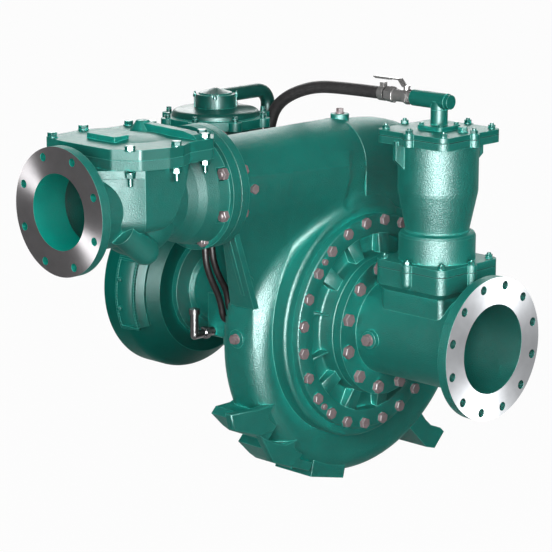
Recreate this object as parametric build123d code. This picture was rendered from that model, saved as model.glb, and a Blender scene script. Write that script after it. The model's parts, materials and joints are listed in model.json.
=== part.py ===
from build123d import *
import os
from math import atan2, cos, radians, sin, tan

os.makedirs("parts", exist_ok=True)

# Frame: X runs along the shaft from the drive flange to the suction flange, Z is up and the
# discharge leaves towards -Y. The origin is the centre of the drive flange face. All in mm.

# Drive housing, an engine flywheel housing pattern
BELL_R = 276.2
BELL_REGISTER_R = 255.6
BELL_LEN = 181.0
BELL_WALL = 16.0
BELL_DRUM = 100.0
BELL_NOSE_R = 212.0
BELL_ROUND = 60.0
BELL_HOLES = 12
BELL_BOLT_EDGE = 11.1
BELL_HOLE_R = 5.95
BELL_HOLE_DEPTH = 25.0
WINDOW_T = 8.0
WINDOW_X0 = 58.0
WINDOW_X1 = 148.0
WINDOW_ARC = 48.0

# Shaft and bearing housing
SHAFT_R = 45.0
STUB_R = 30.0
STUB_X = 40.0
BEARING_R = 104.0
BEARING_FLANGE_R = 160.0
BEARING_FLANGE_T = 20.0
BRACKET_FLANGE_R = 236.0
BRACKET_FLANGE_T = 24.0
BRACKET_LEN = 393.0
SUMP_HALF = 112.0
SUMP_DEPTH = 128.0
SUMP_X0 = 290.0
SUMP_X1 = 430.0
SUMP_ROUND = 18.0

# Oil filler on the side of the bearing housing
OIL_X = 311.0
OIL_Y = -190.0
OIL_TOP_Z = -40.0
OIL_LEG_Z = -106.0
OIL_PIPE_R = 13.0
OIL_CAP_R = 17.0

# Volute casing
VOLUTE_HALF = 133.0
RING_R = 345.0
RING_ROUND = 10.0
BACK_R = 300.0
WALL = 14.0
COVER_BORE_R = 285.0
SPIRAL_IN_R = 215.0
# angle about the shaft from +Y, outer radius there, half width, radius of the outer corners
SPIRAL = [
    (112, 352, 80, 54), (132, 362, 82, 55), (150, 375, 84, 55), (180, 400, 84, 56),
    (210, 425, 84, 57), (240, 451, 84, 57), (270, 476, 84, 57), (300, 502, 84, 57),
    (330, 527, 84, 58), (360, 552, 85, 62), (390, 578, 93, 75), (418, 602, 109, 100),
    (434, 588, 118, 113), (450, 580, 125, 122),
]
NOZZLE_Z = 455.0
NOZZLE_R = 125.0
NOZZLE_FACE_Y = -550.0
WEB_X0 = 770.0
WEB_X1 = 817.0
WEB_STEP = 27.0
WEB_DEPTH = 190.0
STRIP_DEPTH = 20.0
FOOT_LEN = 146.0

# Suction cover
COVER_R = 317.0
COVER_T = 25.0
HUB_R = 203.0
HUB_LEN = 27.0
RECESS_DEPTH = 22.0
RECESS_OUT_R = 284.0
RECESS_IN_R = 229.0
RIB_ANGLES = [164.5, 195.5]
LUG_ANGLES = [80.5, 109, 140, 220.5, 249.5, 280]
RIB_T = 6.0
LUG_ARC = 10.0

# Suction spool, ten inch class 150 flanges
SPOOL_LEN = 419.0
SPOOL_R = 139.0
SUCTION_FLANGE_R = 203.2
SUCTION_FLANGE_T = 30.2
SUCTION_BORE_R = 127.0
SUCTION_BOLT_EDGE = 22.2
SUCTION_HOLES = 12
SUCTION_HOLE_R = 12.7

# Discharge side, eight inch class 150 flanges
OUT_FLANGE_R = 171.45
OUT_FLANGE_T = 28.6
OUT_BORE_R = 101.6
OUT_BOLT_EDGE = 22.25
OUT_HOLES = 8
OUT_HOLE_R = 11.1
STUD_HOLE_R = 11.6
SPOT_R = 19.0
SPOT_DEPTH = 30.0
GASKET_T = 3.0
GASKET_EDGE = 31.0

# Swing check valve
CHECK_LEN = 498.0
CHECK_PORT_LEN = 110.0
CHECK_SIDE = 164.0
CHECK_NECK_R = 118.0
CHECK_WALL = 9.0
CHECK_BOWL_R = 112.0
CHECK_BOWL_DROP = 44.0
CHECK_SEAT = 70.0
CHEST_DROP = 63.0
CHECK_RIM_H = 22.0
DRAIN_R = 38.0
DRAIN_X = 98.0
DRAIN_DROP = 57.0
DRAIN_LEN = 102.0
CLAPPER_T = 14.0
SEAT_GAP = 0.3
PLATE_RISE = 137.0
PLATE_T = 27.0
PLATE_CORNER = 16.0
LID_T = 28.0
LID_DOME_R = 95.0
LID_DOME_H = 9.0
HINGE_BACK = 139.0
HINGE_H = 28.0
CHECK_SHOULDER = 156.0
CHECK_BOWL_BACK = 232.0

# Priming chamber on the spool
PAD_HALF = 126.0
PAD_NECK_HALF = 112.0
PAD_Z = 205.0
PAD_T = 48.0
PAD_CORNER = 26.0
PAD_LUG_R = 16.0
PAD_LUGS = [(PAD_HALF, 0), (-PAD_HALF, 0), (0, PAD_HALF), (0, -PAD_HALF)]
NECK_BORE_R = 92.0
CHAMBER_FLANGE_T = 20.0
CHAMBER_LOW_R = 108.5
CHAMBER_WAIST_R = 90.0
CHAMBER_TOP_R = 113.0
CHAMBER_WALL = 12.0
CHAMBER_TOP_Z = 579.0
CHAMBER_LID_T = 14.0
SHEET_T = 2.0

# Vent line above the chamber
VENT_RISE = 94.0
VENT_R = 24.0
VENT_BORE_R = 16.0
VENT_PAD_HALF = 46.0
VENT_PAD_T = 12.0
VALVE_R = 18.0
VALVE_LEN = 70.0
VALVE_HEX = 40.0
LEVER_T = 4.0
LEVER_LEN = 118.0
LEVER_RISE = 18.0
LEVER_HALF = 9.0
HOSE_R = 18.0
HOSE_BORE_R = 13.0
HOSE_GAP = 0.3

# Vacuum pump and its exhaust
VAC_X = 400.0
VAC_Y = -182.0
VAC_Z = 551.0
VAC_HEAD_R = 150.0
VAC_HEAD_T = 26.0
VAC_LOBES = 8
VAC_BODY_R = 138.0
VAC_BODY_H = 60.0
VAC_DRUM_R = 58.0
VAC_DRUM_H = 39.0
COLUMN_Y = -150.0
COLUMN_R = 60.0
EXHAUST_R = 21.0
EXHAUST_BORE_R = 17.0
EXHAUST_REACH = 218.0
EXHAUST_BEND = 45.0
OIL_HOSE_R = 10.0
OIL_HOSE_BORE_R = 6.0
OIL_FEED_X = 397.0
OIL_RETURN_X = 418.0

# Impeller
IMPELLER_R = 205.0
VANES = 4
VANE_T = 9.0

# Pipe plugs
BOSS_R = 27.0
BOSS_H = 6.0
PLUG_FLATS = 24.0
PLUG_H = 15.0
NOZZLE_PLUG_Y = -472.0
TOP_PLUG_Y = 22.0

# Stations that follow from the sizes above
BELL_BC = BELL_R - BELL_BOLT_EDGE
SUCTION_BC = SUCTION_FLANGE_R - SUCTION_BOLT_EDGE
OUT_BC = OUT_FLANGE_R - OUT_BOLT_EDGE
BRACKET_X = BELL_LEN
VOLUTE_BACK_X = BRACKET_X + BRACKET_LEN
VOLUTE_X = VOLUTE_BACK_X + VOLUTE_HALF
COVER_X = VOLUTE_X + VOLUTE_HALF
COVER_FACE_X = COVER_X + COVER_T
SPOOL_X = COVER_FACE_X + HUB_LEN
SUCTION_X = SPOOL_X + SPOOL_LEN
CHAMBER_X = SPOOL_X + SPOOL_LEN / 2
CHECK_REAR_Y = NOZZLE_FACE_Y - GASKET_T
CHECK_FACE_Y = CHECK_REAR_Y - CHECK_LEN
CHECK_SEAT_Y = CHECK_REAR_Y - CHECK_SEAT
CHECK_BOWL_Y = CHECK_REAR_Y - CHECK_BOWL_BACK
CHECK_SHOULDER_Y = CHECK_FACE_Y + CHECK_SHOULDER
HINGE_Y = CHECK_REAR_Y - HINGE_BACK
DRAIN_Z = NOZZLE_Z - DRAIN_DROP
CHEST_Z = NOZZLE_Z - CHEST_DROP
PLATE_Z = NOZZLE_Z + PLATE_RISE
LID_Z = PLATE_Z + LID_T
BASE_Z = PAD_Z + SHEET_T
CHAMBER_LID_Z = CHAMBER_TOP_Z + SHEET_T + CHAMBER_LID_T
VENT_Z = CHAMBER_TOP_Z + VENT_RISE
TEE_BODY_Z = VENT_Z - VENT_R
TEE_X0 = CHAMBER_X - 93
TEE_X1 = CHAMBER_X + 30
VALVE_X1 = TEE_X0 - 16
VALVE_X0 = VALVE_X1 - VALVE_LEN
STEM_X = VALVE_X1 - 11
STEM_TOP = VENT_Z + 26
HOSE_END_X = VALVE_X0 - 12
VAC_HEAD_Z = VAC_Z + VAC_HEAD_T
VAC_DRUM_Z = VAC_HEAD_Z + 24
VAC_CAP_Z = VAC_DRUM_Z + VAC_DRUM_H
SIDE_PLUG_FACE = -SPIRAL[3][1] - BOSS_H
NOZZLE_PLUG_FACE = VOLUTE_X + NOZZLE_R + BOSS_H
TOP_PLUG_FACE = SPIRAL[-1][1] + 2 * BOSS_H
HINGE_X = VOLUTE_X - 66
SPOOL_PLUG_X = CHAMBER_X - 117.5
SPOOL_PLUG_Y = -SPOOL_R - 14
EXHAUST_Z = VAC_CAP_Z - 9
PORT_X = VAC_X + 28
PORT_Z = VAC_Z - 121

TURN = {"X": (0, 90, 0), "Y": (-90, 0, 0), "Z": (0, 0, 0)}


def place(axis, along, u, v):
    """Point on a line parallel to an axis; u and v are the other two coordinates in order."""
    return {"X": (along, u, v), "Y": (u, along, v), "Z": (u, v, along)}[axis]


def rod(axis, r, a, b, u=0.0, v=0.0):
    """Cylinder along an axis from a to b."""
    return Pos(*place(axis, (a + b) / 2, u, v)) * Rot(*TURN[axis]) * Cylinder(r, abs(b - a))


def cone(axis, r0, r1, a, b, u=0.0, v=0.0):
    """Cone along an axis, radius r0 at a and r1 at b, with a below b."""
    return Pos(*place(axis, (a + b) / 2, u, v)) * Rot(*TURN[axis]) * Cone(r0, r1, b - a)


def box(x0, x1, y0, y1, z0, z1):
    """Box between two corners."""
    size = Box(abs(x1 - x0), abs(y1 - y0), abs(z1 - z0))
    return Pos((x0 + x1) / 2, (y0 + y1) / 2, (z0 + z1) / 2) * size


def turned(points):
    """Solid of revolution about the shaft from points given as x, radius."""
    return revolve(make_face(Polyline(points, close=True)), Axis.X)


def turned_z(points, x, y):
    """Solid of revolution about a vertical axis from points given as radius, z."""
    face = make_face(Polyline([(r, 0, z) for r, z in points], close=True))
    return Pos(x, y, 0) * revolve(face, Axis.Z)


def turned_y(points, x, z):
    """Solid of revolution about a line along Y from points given as y, radius."""
    face = make_face(Polyline([(r, y, 0) for y, r in points], close=True))
    return Pos(x, 0, z) * revolve(face, Axis.Y)


def prism(points, depth):
    """Plate of a given depth, half to each side of the plane its outline lies in."""
    return extrude(make_face(Polyline(points, close=True)), depth / 2, both=True)


def ring_of(axis, count, radius, r, a, b, u=0.0, v=0.0, start=0.0):
    """Ring of equal rods, as tools for bolt holes; angle from the first cross axis."""
    rods = []
    for i in range(count):
        t = radians(start + 360.0 * i / count)
        rods.append(rod(axis, r, a, b, u + radius * cos(t), v + radius * sin(t)))
    return rods


def lugged_plate(z0, z1):
    """Square plate of the priming chamber with a half-round lug on each side."""
    square = RectangleRounded(2 * PAD_HALF, 2 * PAD_HALF, PAD_CORNER)
    slab = extrude(Pos(CHAMBER_X, 0, z0) * square, z1 - z0)
    for dx, dy in PAD_LUGS:
        slab += rod("Z", PAD_LUG_R, z0, z1, CHAMBER_X + dx, dy)
    return slab


def hexagon(axis, across_flats, a, b, u, v):
    """Hexagonal prism along an axis."""
    bar = extrude(RegularPolygon(across_flats / 2, 6, major_radius=False), abs(b - a))
    return Pos(*place(axis, min(a, b), u, v)) * Rot(*TURN[axis]) * bar


def plug(axis, face, side, u, v, flats=PLUG_FLATS):
    """Pipe plug with a hexagon head, standing on a face; side is the way it points."""
    collar = rod(axis, flats / 2 + 3, face, face + side * 3, u, v)
    return collar + hexagon(axis, flats, face + side * 3, face + side * PLUG_H, u, v)


def tube_route(points, radius, bore):
    """Tube of straight runs joined by tangent arcs; each radius follows the runs beside it."""
    radii = []
    for a, b, c in zip(points, points[1:], points[2:]):
        before = Vector(*b) - Vector(*a)
        after = Vector(*c) - Vector(*b)
        turn = radians(before.get_angle(after))
        radii.append(0.45 * min(before.length, after.length) / tan(turn / 2))
    path = FilletPolyline(*points, radius=radii)
    start = Plane(origin=path @ 0, z_dir=path % 0)
    print("route radii", [round(r) for r in radii])
    return sweep(start * (Circle(radius) - Circle(bore)), path=path)


parts = {}


# Drive housing
def bell_solid(x0, grow, turn=360.0):
    """Drum with a rounded conical shoulder, filled to the shaft line and grown by an amount."""
    drum = FilletPolyline(
        (x0, BELL_R + grow), (BELL_DRUM, BELL_R + grow), (BELL_LEN, BELL_NOSE_R + grow), radius=BELL_ROUND
    )
    closing = Polyline([(BELL_LEN, BELL_NOSE_R + grow), (BELL_LEN, 0), (x0, 0), (x0, BELL_R + grow)])
    return revolve(make_face(drum + closing), Axis.X, turn)


def bell_housing():
    inner_r = BELL_REGISTER_R
    end = BELL_LEN - BELL_WALL
    nose = BELL_NOSE_R - BELL_WALL
    hollow = FilletPolyline((0, inner_r), (BELL_DRUM - BELL_WALL / 2, inner_r), (end, nose), radius=40)
    closing = Polyline([(end, nose), (end, 0), (0, 0), (0, inner_r)])
    bell = bell_solid(0, 0) - revolve(make_face(hollow + closing), Axis.X)
    bell -= rod("X", BEARING_R - 12, end, BELL_LEN)
    for hole in ring_of("X", BELL_HOLES, BELL_BC, BELL_HOLE_R, 0, BELL_HOLE_DEPTH, start=15):
        bell -= hole
    return bell


def window_cover():
    """Raised plate over the side opening, wrapped around the drum and its shoulder."""
    sector = bell_solid(WINDOW_X0, WINDOW_T, WINDOW_ARC) & rod("X", 2 * BELL_R, WINDOW_X0, WINDOW_X1)
    return Rot(180 - WINDOW_ARC / 2, 0, 0) * (sector - bell_solid(0, 0))


parts["bell_housing"] = bell_housing()
parts["window_cover"] = window_cover()

# Bearing housing between the drive housing and the volute, with its oil sump
bx = BRACKET_X
vb = VOLUTE_BACK_X
flange_end = bx + BEARING_FLANGE_T
bearing = turned([
    (bx, 0), (bx, BEARING_FLANGE_R), (flange_end, BEARING_FLANGE_R), (flange_end + 6, BEARING_R + 8),
    (flange_end + 20, BEARING_R), (vb - 153, BEARING_R), (vb - 90, 150), (vb - 30, 170),
    (vb - BRACKET_FLANGE_T, BRACKET_FLANGE_R), (vb, BRACKET_FLANGE_R), (vb, 0),
])
sump = RectangleRounded(2 * SUMP_HALF, 2 * SUMP_DEPTH, SUMP_ROUND)
sump_bar = Plane(origin=(SUMP_X0, 0, 0), x_dir=(0, 1, 0), z_dir=(1, 0, 0)) * sump
bearing += extrude(sump_bar, SUMP_X1 - SUMP_X0) & box(SUMP_X0, SUMP_X1, -200, 200, -200, 10)
bearing -= turned([
    (bx, 0), (bx, SHAFT_R), (vb - 120, SHAFT_R), (vb - 100, 70), (vb - 60, 110), (vb, 120), (vb, 0),
])
parts["bearing_housing"] = bearing

parts["drive_shaft"] = turned([
    (STUB_X, 0), (STUB_X, STUB_R), (bx - 6, STUB_R), (bx, SHAFT_R), (VOLUTE_X - 60, SHAFT_R),
    (VOLUTE_X - 60, 38), (VOLUTE_X + 30, 38), (VOLUTE_X + 30, 0),
])

# Oil filler: a capped riser with a leg into the sump
oil = rod("Z", OIL_PIPE_R, OIL_LEG_Z, OIL_TOP_Z, OIL_X, OIL_Y)
oil += Pos(OIL_X, OIL_Y, OIL_LEG_Z) * Sphere(OIL_PIPE_R)
oil += rod("Y", OIL_PIPE_R, OIL_Y, -SUMP_HALF, OIL_X, OIL_LEG_Z)
oil += hexagon("Y", 34, -SUMP_HALF - 40, -SUMP_HALF - 24, OIL_X, OIL_LEG_Z)
parts["oil_elbow"] = oil
parts["oil_filler_cap"] = rod("Z", OIL_CAP_R, OIL_TOP_Z, OIL_TOP_Z + 16, OIL_X, OIL_Y)


# Volute casing
def spiral_section(angle, outer, half, corner, inner):
    """Closed section of the spiral at an angle: straight sides, round corners, flat crown."""
    e = Vector(0, cos(radians(angle)), sin(radians(angle)))
    mid = Vector(VOLUTE_X, 0, 0)
    side = Vector(half, 0, 0)
    flat = Vector(half - corner, 0, 0)
    bulge = Vector(half - corner + corner * sin(radians(45)), 0, 0)
    low = e * (outer - corner)
    high = e * (outer - corner + corner * sin(radians(45)))
    return Wire([
        Edge.make_line(mid - side + e * inner, mid - side + low),
        Edge.make_three_point_arc(mid - side + low, mid - bulge + high, mid - flat + e * outer),
        Edge.make_line(mid - flat + e * outer, mid + flat + e * outer),
        Edge.make_three_point_arc(mid + flat + e * outer, mid + bulge + high, mid + side + low),
        Edge.make_line(mid + side + low, mid + side + e * inner),
        Edge.make_line(mid + side + e * inner, mid - side + e * inner),
    ])


def spiral_body(inset, inner, first=0):
    """Spiral through all stations, moved inwards by an inset."""
    wires = [
        spiral_section(angle, outer - inset, half - inset, corner - inset, inner)
        for angle, outer, half, corner in SPIRAL[first:]
    ]
    return Solid.make_loft(wires)


def foot(direction, outline, sides):
    """Foot on the lower half; outline points are given along the pad and out from the shaft."""
    face = make_face(Polyline([(VOLUTE_X, r, t) for t, r in outline], close=True))
    return Rot(direction, 0, 0) * extrude(face, sides / 2, both=True)


SIDE_FOOT = [(0, 472), (0, 447), (40, 407), (46, 396), (50, 370), (50, 300), (107, 300), (107, 462),
             (98, 468), (65, 472)]
LOW_FOOT = [(-55, 481), (-55, 411), (-40, 380), (80, 380), (89, 445), (89, 481)]
RIGHT_FOOT = [(-73, 620), (-11, 620), (-12, 596), (-31, 551), (-33, 517), (-20, 400), (-92, 400),
              (-92, 584)]


def buttress(top_x0, top_x1, low_x0, low_x1, depth):
    """Slanted strip from the edge of the nozzle flange down to the flat outer wall."""
    sections = []
    top_y = NOZZLE_FACE_Y + OUT_FLANGE_T
    for x0, x1, y, z in ((low_x0, low_x1, -398, 90), (top_x0, top_x1, top_y, 330)):
        sections.append(Wire.make_polygon([(x0, y, z), (x1, y, z), (x1, y + depth, z), (x0, y + depth, z)]))
    return Solid.make_loft(sections, ruled=True)


def volute_casing():
    x = VOLUTE_X
    casing = spiral_body(0, SPIRAL_IN_R)
    ring = FilletPolyline((x, RING_R), (COVER_X, RING_R), (COVER_X, COVER_BORE_R), radius=RING_ROUND)
    ring_face = make_face(ring + Polyline([(COVER_X, COVER_BORE_R), (COVER_X, 0), (x, 0), (x, RING_R)]))
    casing += revolve(ring_face, Axis.X)
    casing += rod("X", BACK_R, VOLUTE_BACK_X, x)
    casing += rod("Y", NOZZLE_R, NOZZLE_FACE_Y, 5, x, NOZZLE_Z)
    casing += rod("Y", OUT_FLANGE_R, NOZZLE_FACE_Y, NOZZLE_FACE_Y + OUT_FLANGE_T, x, NOZZLE_Z)
    # buttress under the nozzle: an outer strip with a thinner web behind it
    casing += buttress(WEB_X0, WEB_X1, x - 30, WEB_X0, STRIP_DEPTH)
    casing += buttress(WEB_X0, WEB_X1 - WEB_STEP, x - 30, WEB_X0 - WEB_STEP, WEB_DEPTH)
    casing += foot(-135, [(t - 143, r) for t, r in SIDE_FOOT], FOOT_LEN)
    casing += foot(-135, [(t + 10, r) for t, r in SIDE_FOOT], FOOT_LEN)
    casing += foot(-104.3, LOW_FOOT, FOOT_LEN)
    casing += foot(-45, RIGHT_FOOT, FOOT_LEN)
    # bosses for the pipe plugs
    casing += rod("Y", BOSS_R, SIDE_PLUG_FACE, -360, x, -5)
    casing += rod("X", BOSS_R, x, NOZZLE_PLUG_FACE, NOZZLE_PLUG_Y, NOZZLE_Z)
    casing += rod("Z", BOSS_R, 520, TOP_PLUG_FACE, x, TOP_PLUG_Y)
    casing -= spiral_body(WALL, SPIRAL_IN_R - 20, 2)
    casing -= rod("X", COVER_BORE_R, x - 60, COVER_X)
    casing -= rod("X", 120, VOLUTE_BACK_X, x)
    casing -= rod("Y", OUT_BORE_R, NOZZLE_FACE_Y, 5, x, NOZZLE_Z)
    for hole in ring_of("Y", OUT_HOLES, OUT_BC, STUD_HOLE_R, NOZZLE_FACE_Y, NOZZLE_FACE_Y + OUT_FLANGE_T,
                        x, NOZZLE_Z, 22.5):
        casing -= hole
    return casing


parts["volute_casing"] = volute_casing()
parts["volute_side_plug"] = plug("Y", SIDE_PLUG_FACE, -1, VOLUTE_X, -5)
parts["nozzle_plug"] = plug("X", NOZZLE_PLUG_FACE, 1, NOZZLE_PLUG_Y, NOZZLE_Z)
parts["volute_top_plug"] = plug("Z", TOP_PLUG_FACE, 1, VOLUTE_X, TOP_PLUG_Y, PLUG_FLATS - 5)

# Suction cover: a recess between hub and flange, bridged by thin ribs and short lugs
cx = COVER_X
floor_x = COVER_FACE_X - RECESS_DEPTH
cover = turned([
    (cx, SUCTION_BORE_R), (cx, COVER_R), (COVER_FACE_X, COVER_R), (COVER_FACE_X, RECESS_OUT_R),
    (floor_x, RECESS_OUT_R - 4), (floor_x, RECESS_IN_R + 5), (COVER_FACE_X - 4, RECESS_IN_R + 1),
    (COVER_FACE_X, RECESS_IN_R - 3), (SPOOL_X, HUB_R), (SPOOL_X, SUCTION_BORE_R),
])
cover += turned([
    (cx - 90, SUCTION_BORE_R), (cx - 75, 200), (cx - 30, COVER_BORE_R - 1), (cx, COVER_BORE_R - 1),
    (cx, SUCTION_BORE_R),
])
for angle in RIB_ANGLES:
    rib = box(floor_x - 2, COVER_FACE_X - 2, RECESS_IN_R - 4, RECESS_OUT_R + 2, -RIB_T / 2, RIB_T / 2)
    cover += Rot(angle, 0, 0) * rib
lug_profile = make_face(Polyline([
    (floor_x - 2, HUB_R + 4), (COVER_FACE_X + 3, HUB_R + 4), (COVER_FACE_X - 3, 262), (floor_x - 2, 262),
], close=True))
for angle in LUG_ANGLES:
    cover += Rot(angle - LUG_ARC / 2, 0, 0) * revolve(lug_profile, Axis.X, LUG_ARC)
parts["suction_cover"] = cover


# Impeller: back shroud, hub, curved vanes and front ring, seen through the suction bore
def vane(start):
    """Vane swept back along a spiral, with a constant thickness."""
    inner_r = 46.0
    points = []
    for k in range(7):
        r = inner_r + (IMPELLER_R - inner_r - 4) * k / 6
        t = radians(start + 85.0 * k / 6)
        points.append((VOLUTE_X - 52, r * cos(t), r * sin(t)))
    outer = [
        (x, y - VANE_T * sin(atan2(z, y)), z + VANE_T * cos(atan2(z, y))) for x, y, z in points
    ]
    face = make_face(Polyline(points + outer[::-1], close=True))
    return extrude(face, 82, dir=(1, 0, 0))


wheel = turned([
    (VOLUTE_X - 60, 38), (VOLUTE_X - 60, IMPELLER_R), (VOLUTE_X - 48, IMPELLER_R),
    (VOLUTE_X - 30, 70), (VOLUTE_X + 10, 52), (VOLUTE_X + 30, 44), (VOLUTE_X + 30, 38),
])
for i in range(VANES):
    wheel += vane(20.0 + 360.0 * i / VANES)
wheel += turned([
    (VOLUTE_X + 28, 118), (VOLUTE_X + 22, 135), (VOLUTE_X - 2, IMPELLER_R),
    (VOLUTE_X + 8, IMPELLER_R), (VOLUTE_X + 34, 136), (VOLUTE_X + 42, 126), (VOLUTE_X + 42, 118),
])
parts["impeller"] = wheel

# Suction spool with the pad for the priming chamber
spool = rod("X", SPOOL_R, SPOOL_X, SUCTION_X)
spool += rod("X", SUCTION_FLANGE_R, SPOOL_X, SPOOL_X + SUCTION_FLANGE_T)
spool += rod("X", SUCTION_FLANGE_R, SUCTION_X - SUCTION_FLANGE_T, SUCTION_X)
neck = RectangleRounded(2 * PAD_NECK_HALF, 2 * PAD_NECK_HALF, PAD_LUG_R)
wide = RectangleRounded(2 * PAD_HALF, 2 * PAD_HALF, PAD_CORNER)
pad_low = PAD_Z - PAD_T
spool += extrude(Pos(CHAMBER_X, 0, 0) * neck, pad_low)
spool += loft([Pos(CHAMBER_X, 0, pad_low - 17) * neck, Pos(CHAMBER_X, 0, pad_low) * wide])
spool += extrude(Pos(CHAMBER_X, 0, pad_low) * wide, PAD_T)
for dx, dy in PAD_LUGS:
    spool += rod("Z", PAD_LUG_R, PAD_Z - 32, PAD_Z, CHAMBER_X + dx, dy)
    spool += Pos(CHAMBER_X + dx, dy, PAD_Z - 32) * Sphere(PAD_LUG_R)
spool += rod("Y", BOSS_R - 2, SPOOL_PLUG_Y, -100, SPOOL_PLUG_X, -5)
spool -= rod("X", SUCTION_BORE_R, SPOOL_X, SUCTION_X)
spool -= rod("Z", NECK_BORE_R, 0, PAD_Z, CHAMBER_X, 0)
for x0 in (SPOOL_X, SUCTION_X - SUCTION_FLANGE_T):
    x1 = x0 + SUCTION_FLANGE_T
    for hole in ring_of("X", SUCTION_HOLES, SUCTION_BC, SUCTION_HOLE_R, x0, x1, start=15):
        spool -= hole
parts["suction_spool"] = spool
parts["spool_plug"] = plug("Y", SPOOL_PLUG_Y, -1, SPOOL_PLUG_X, -5, 28)

# Gaskets and the priming chamber
base_gasket = lugged_plate(PAD_Z, BASE_Z)
parts["chamber_base_gasket"] = base_gasket - rod("Z", NECK_BORE_R, PAD_Z, BASE_Z, CHAMBER_X, 0)
zt = CHAMBER_TOP_Z
chamber = lugged_plate(BASE_Z, BASE_Z + CHAMBER_FLANGE_T)
chamber += lugged_plate(zt - CHAMBER_FLANGE_T, zt)
chamber += turned_z([
    (0, BASE_Z), (CHAMBER_LOW_R, BASE_Z), (CHAMBER_LOW_R, 296), (CHAMBER_LOW_R - 4, 304),
    (CHAMBER_WAIST_R + 2, 309), (CHAMBER_WAIST_R, 313), (CHAMBER_TOP_R - 1, 418), (CHAMBER_TOP_R, 426),
    (CHAMBER_TOP_R, zt), (0, zt),
], CHAMBER_X, 0)
gusset = prism([
    (80, 0, zt - 10), (140, 0, zt - 10), (140, 0, zt - 62), (112, 0, zt - 90), (80, 0, zt - 90),
], 16)
for angle in (250, 70):
    chamber += Pos(CHAMBER_X, 0, 0) * Rot(0, 0, angle) * gusset
chamber_bore = CHAMBER_TOP_R - CHAMBER_WALL
waist_bore = CHAMBER_WAIST_R - CHAMBER_WALL
chamber -= turned_z([
    (0, BASE_Z), (NECK_BORE_R, BASE_Z), (NECK_BORE_R, 288), (waist_bore, 303),
    (waist_bore, 318), (chamber_bore, 430), (chamber_bore, zt), (0, zt),
], CHAMBER_X, 0)
parts["float_chamber"] = chamber
upper_gasket = lugged_plate(zt, zt + SHEET_T)
parts["chamber_cover_gasket"] = upper_gasket - rod("Z", chamber_bore, zt, zt + SHEET_T, CHAMBER_X, 0)
lid = lugged_plate(zt + SHEET_T, CHAMBER_LID_Z)
parts["chamber_cover"] = lid - rod("Z", VENT_BORE_R, zt + SHEET_T, CHAMBER_LID_Z, CHAMBER_X, 0)
parts["chamber_cover_plug"] = plug("Z", CHAMBER_LID_Z, 1, CHAMBER_X + 86, 0)

# Vent riser, tee and plug
vent_pad = RectangleRounded(2 * VENT_PAD_HALF, 2 * VENT_PAD_HALF, 14)
riser = extrude(Pos(CHAMBER_X, 0, CHAMBER_LID_Z) * vent_pad, VENT_PAD_T)
riser += rod("Z", VENT_R, CHAMBER_LID_Z, TEE_BODY_Z, CHAMBER_X, 0)
parts["vent_riser"] = riser - rod("Z", VENT_BORE_R, CHAMBER_LID_Z, TEE_BODY_Z, CHAMBER_X, 0)
tee = rod("Z", VENT_R, TEE_BODY_Z, VENT_Z, CHAMBER_X, 0) + rod("X", VENT_R - 1, TEE_X0, TEE_X1, 0, VENT_Z)
tee -= rod("Z", VENT_BORE_R, TEE_BODY_Z, VENT_Z, CHAMBER_X, 0)
tee -= rod("X", HOSE_BORE_R, TEE_X0, TEE_X1, 0, VENT_Z)
parts["vent_tee"] = tee
parts["tee_plug"] = rod("X", VENT_R - 4, TEE_X1, TEE_X1 + 12, 0, VENT_Z)

# Ball valve, lever, hose tail and clamp
nipple = rod("X", HOSE_BORE_R + 2, VALVE_X1, TEE_X0, 0, VENT_Z)
parts["nipple"] = nipple - rod("X", HOSE_BORE_R, VALVE_X1, TEE_X0, 0, VENT_Z)
valve = rod("X", VALVE_R, VALVE_X0, VALVE_X1, 0, VENT_Z)
valve += hexagon("X", VALVE_HEX, VALVE_X0, VALVE_X0 + 16, 0, VENT_Z)
valve += hexagon("X", VALVE_HEX, VALVE_X1 - 14, VALVE_X1, 0, VENT_Z)
valve += rod("Z", LEVER_HALF, VENT_Z, STEM_TOP, STEM_X, 0)
valve -= rod("X", HOSE_BORE_R, VALVE_X0, VALVE_X1, 0, VENT_Z)
parts["ball_valve_body"] = valve
grip_z = STEM_TOP + LEVER_RISE
tip_x = STEM_X - LEVER_LEN
lever = rod("Z", LEVER_HALF + 2, STEM_TOP, STEM_TOP + LEVER_T, STEM_X, 0)
lever += prism([
    (STEM_X, 0, STEM_TOP), (STEM_X - 10, 0, STEM_TOP), (STEM_X - 26, 0, grip_z), (tip_x, 0, grip_z),
    (tip_x, 0, grip_z + LEVER_T), (STEM_X - 23, 0, grip_z + LEVER_T), (STEM_X - 7, 0, STEM_TOP + LEVER_T),
    (STEM_X, 0, STEM_TOP + LEVER_T),
], 2 * LEVER_HALF)
parts["valve_lever"] = lever
tail_x0 = HOSE_END_X - 32
tail = hexagon("X", VALVE_HEX - 2, HOSE_END_X, VALVE_X0, 0, VENT_Z)
tail += rod("X", HOSE_BORE_R, tail_x0, VALVE_X0, 0, VENT_Z)
parts["hose_tail"] = tail - rod("X", HOSE_BORE_R - 4, tail_x0, VALVE_X0, 0, VENT_Z)
clamp_x0 = HOSE_END_X - 26
clamp_x1 = HOSE_END_X - 6
clamp = rod("X", HOSE_R + 3, clamp_x0, clamp_x1, 0, VENT_Z)
clamp += box(clamp_x0 + 3, clamp_x1 - 3, -8, 8, VENT_Z + HOSE_R, VENT_Z + HOSE_R + 14)
parts["hose_clamp"] = clamp - rod("X", HOSE_R + HOSE_GAP, clamp_x0, clamp_x1, 0, VENT_Z)

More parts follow.
